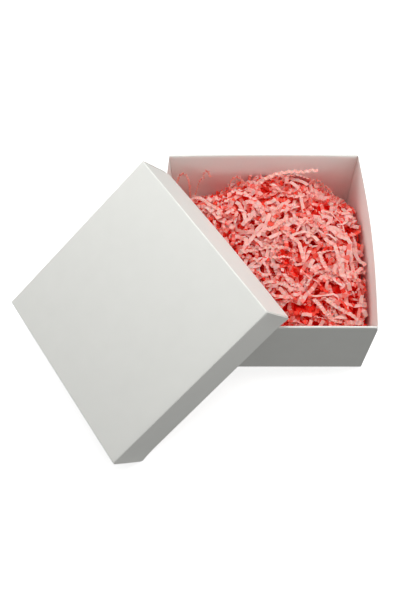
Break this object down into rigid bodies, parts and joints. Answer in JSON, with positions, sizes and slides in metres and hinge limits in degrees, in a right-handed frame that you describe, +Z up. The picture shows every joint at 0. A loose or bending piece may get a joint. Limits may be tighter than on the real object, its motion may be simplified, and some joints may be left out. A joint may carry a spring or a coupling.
{
  "type": "gift box",
  "caption": "Square folded paperboard gift box: a shallow lift-off lid leans open side down on a deep tray filled with crinkle-cut paper shred.",
  "frame": {"origin": "centre of the tray's underside, on the surface it stands on", "axes": "+X to the tray's right, +Y to its back, +Z up; the lid leans on the tray's front rim"},
  "size_m": [0.3779, 0.3207, 0.1555],
  "materials": {
    "white_paperboard": "matte",
    "pink_shred_paper": "matte"
  },
  "bodies": {
    "tray": {"tray_base_panel": "white_paperboard", "tray_front_outer_wall": "white_paperboard", "tray_front_liner": "white_paperboard", "tray_front_rim": "white_paperboard", "tray_front_left_ear": "white_paperboard", "tray_front_right_ear": "white_paperboard", "tray_back_outer_wall": "white_paperboard", "tray_back_liner": "white_paperboard", "tray_back_rim": "white_paperboard", "tray_back_left_ear": "white_paperboard", "tray_back_right_ear": "white_paperboard", "tray_left_wall": "white_paperboard", "tray_right_wall": "white_paperboard", "paper_shred_bed": "pink_shred_paper", "loose_strip_01": "pink_shred_paper", "loose_strip_02": "pink_shred_paper", "loose_strip_03": "pink_shred_paper", "loose_strip_04": "pink_shred_paper", "loose_strip_05": "pink_shred_paper", "loose_strip_06": "pink_shred_paper", "loose_strip_07": "pink_shred_paper", "loose_strip_08": "pink_shred_paper", "loose_strip_09": "pink_shred_paper", "loose_strip_10": "pink_shred_paper", "loose_strip_11": "pink_shred_paper", "loose_strip_12": "pink_shred_paper", "loose_strip_13": "pink_shred_paper", "loose_strip_14": "pink_shred_paper", "loose_strip_15": "pink_shred_paper", "loose_strip_16": "pink_shred_paper", "loose_strip_17": "pink_shred_paper", "loose_strip_18": "pink_shred_paper", "loose_strip_19": "pink_shred_paper", "loose_strip_20": "pink_shred_paper", "loose_strip_21": "pink_shred_paper", "loose_strip_22": "pink_shred_paper", "loose_strip_23": "pink_shred_paper", "loose_strip_24": "pink_shred_paper"},
    "lid": {"lid_top_panel": "white_paperboard", "lid_front_outer_wall": "white_paperboard", "lid_front_rim": "white_paperboard", "lid_front_left_ear": "white_paperboard", "lid_front_right_ear": "white_paperboard", "lid_back_outer_wall": "white_paperboard", "lid_back_rim": "white_paperboard", "lid_back_left_ear": "white_paperboard", "lid_back_right_ear": "white_paperboard", "lid_left_wall": "white_paperboard", "lid_right_wall": "white_paperboard"},
    "lid_front_liner_flap": {"lid_front_liner": "white_paperboard"},
    "lid_back_liner_flap": {"lid_back_liner": "white_paperboard"}
  },
  "joints": [
    {"name": "lid_lift", "type": "slide", "parent": "tray", "child": "lid", "axis": [0, 0, 1], "range_m": [0, 0.14]},
    {"name": "lid_front_liner_fold", "type": "hinge", "parent": "lid", "child": "lid_front_liner_flap", "pos_m": [-0.05484, -0.14746, 0.05606], "axis": [-0.6874, -0.4922, -0.5341], "range_deg": [0, 45]},
    {"name": "lid_back_liner_fold", "type": "hinge", "parent": "lid", "child": "lid_back_liner_flap", "pos_m": [-0.17382, 0.01874, 0.05606], "axis": [0.6874, 0.4922, 0.5341], "range_deg": [0, 70]}
  ]
}
